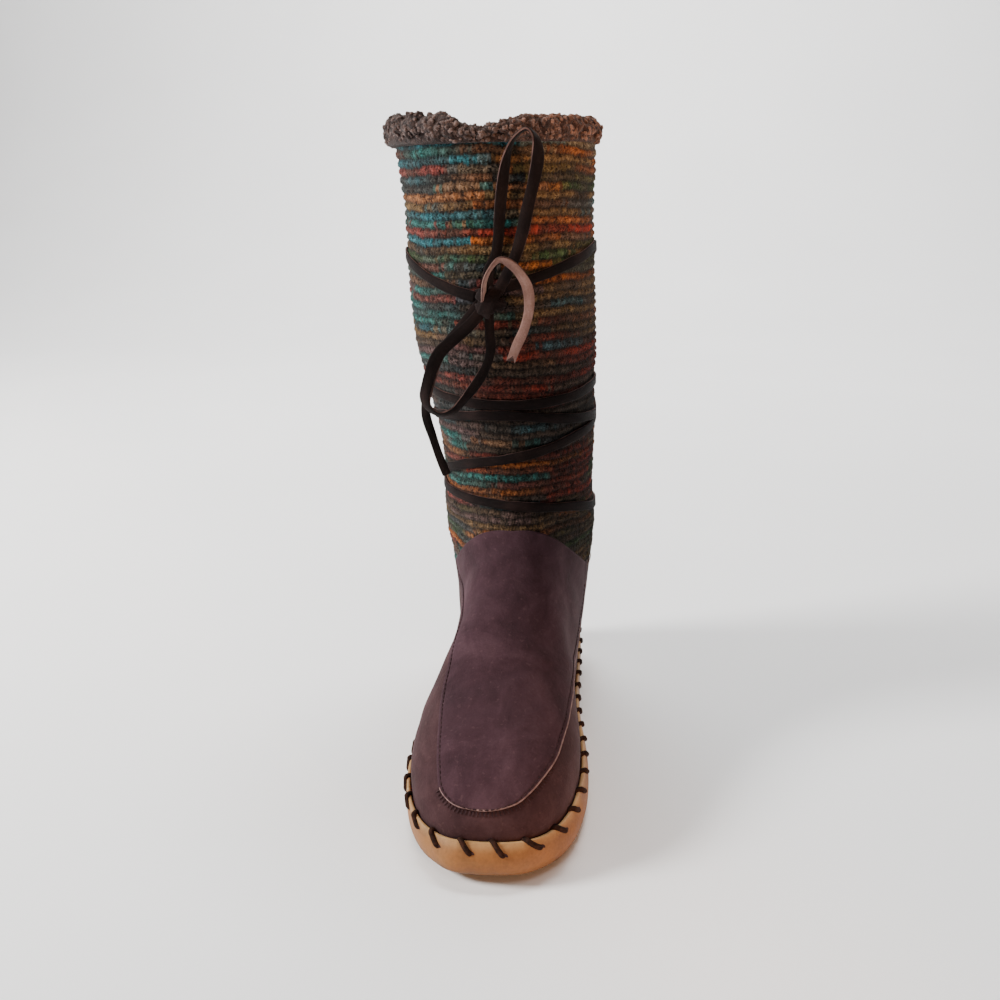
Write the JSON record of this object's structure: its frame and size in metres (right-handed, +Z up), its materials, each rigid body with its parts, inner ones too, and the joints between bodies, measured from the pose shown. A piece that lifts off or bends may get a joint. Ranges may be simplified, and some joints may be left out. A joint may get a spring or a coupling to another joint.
{
  "type": "boot",
  "caption": "Tall knit mukluk boot with a suede foot, whip-stitched rubber cup sole, rolled fleece cuff and a suede lace wrapped round the shaft and tied in a bow at the front.",
  "frame": {"origin": "on the ground plane, under the middle of the sole's length, on the sole's flat underside", "axes": "+Z up the shaft, the toe points to -Y, the medial side of this right boot is +X"},
  "size_m": [0.1216, 0.2716, 0.3531],
  "materials": {
    "tan_rubber": "matt moulded, slightly worn",
    "footbed_felt": "felted",
    "plum_suede": "suede nap",
    "plum_suede_panel": "suede nap with a cut edge",
    "variegated_knit": "ribbed purl knit in streaked yarn",
    "brown_fleece": "curly fleece",
    "dark_suede_lace": "flat suede lace with a light cut edge"
  },
  "bodies": {
    "root": {"outsole": "tan_rubber", "insole": "footbed_felt", "upper": "plum_suede", "vamp_panel": "plum_suede_panel", "knit_shaft": "variegated_knit", "fleece_cuff": "brown_fleece", "lace_wraps": "dark_suede_lace", "lace_knot": "dark_suede_lace", "bow_loop_upper": "dark_suede_lace", "bow_loop_lower": "dark_suede_lace", "lace_end_right": "dark_suede_lace", "lace_end_left": "dark_suede_lace"}
  },
  "joints": []
}
